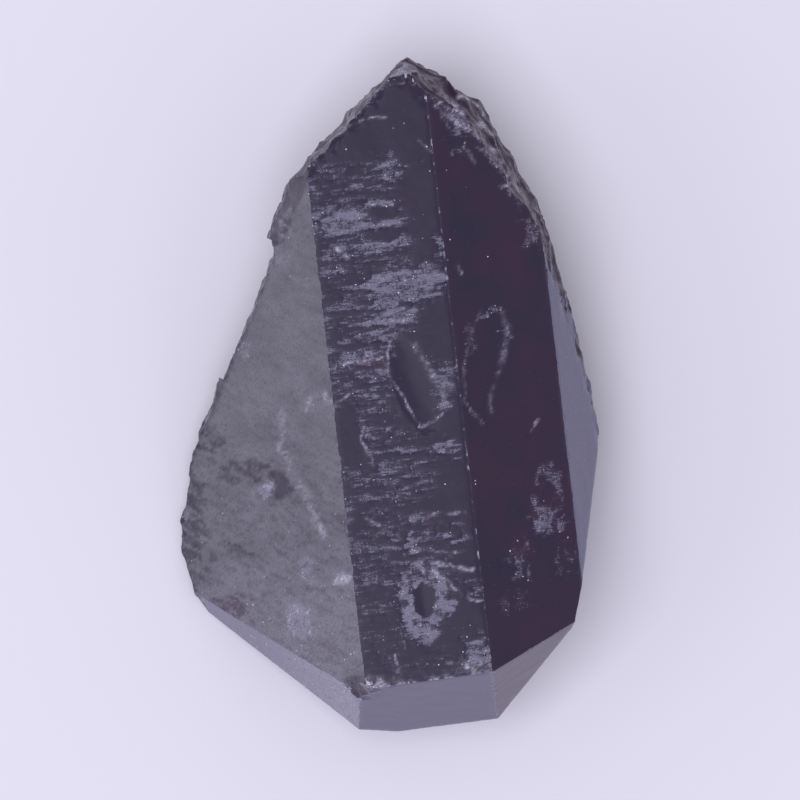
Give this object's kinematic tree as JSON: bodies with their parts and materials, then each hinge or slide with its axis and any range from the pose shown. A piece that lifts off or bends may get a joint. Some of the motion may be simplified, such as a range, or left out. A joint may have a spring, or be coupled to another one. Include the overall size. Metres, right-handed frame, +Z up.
{
  "type": "smoky quartz crystal",
  "caption": "Rough dark smoky quartz crystal: a stubby prism with flat faces and a blunt tip, broken at the root, lying on a flat side.",
  "frame": {"origin": "middle of the footprint's bounding box, on the surface the crystal lies on", "axes": "+Y along the prism's long edges towards the broken root, -Y towards the crystal tip, +Z up, +X to the steep flank"},
  "size_m": [0.0388, 0.0602, 0.0295],
  "materials": {
    "smoky_quartz": "glassy crystal faces, frosted growth marks and glossy shell-like breaks"
  },
  "bodies": {
    "root": {"smoky_quartz_crystal": "smoky_quartz"}
  },
  "joints": []
}
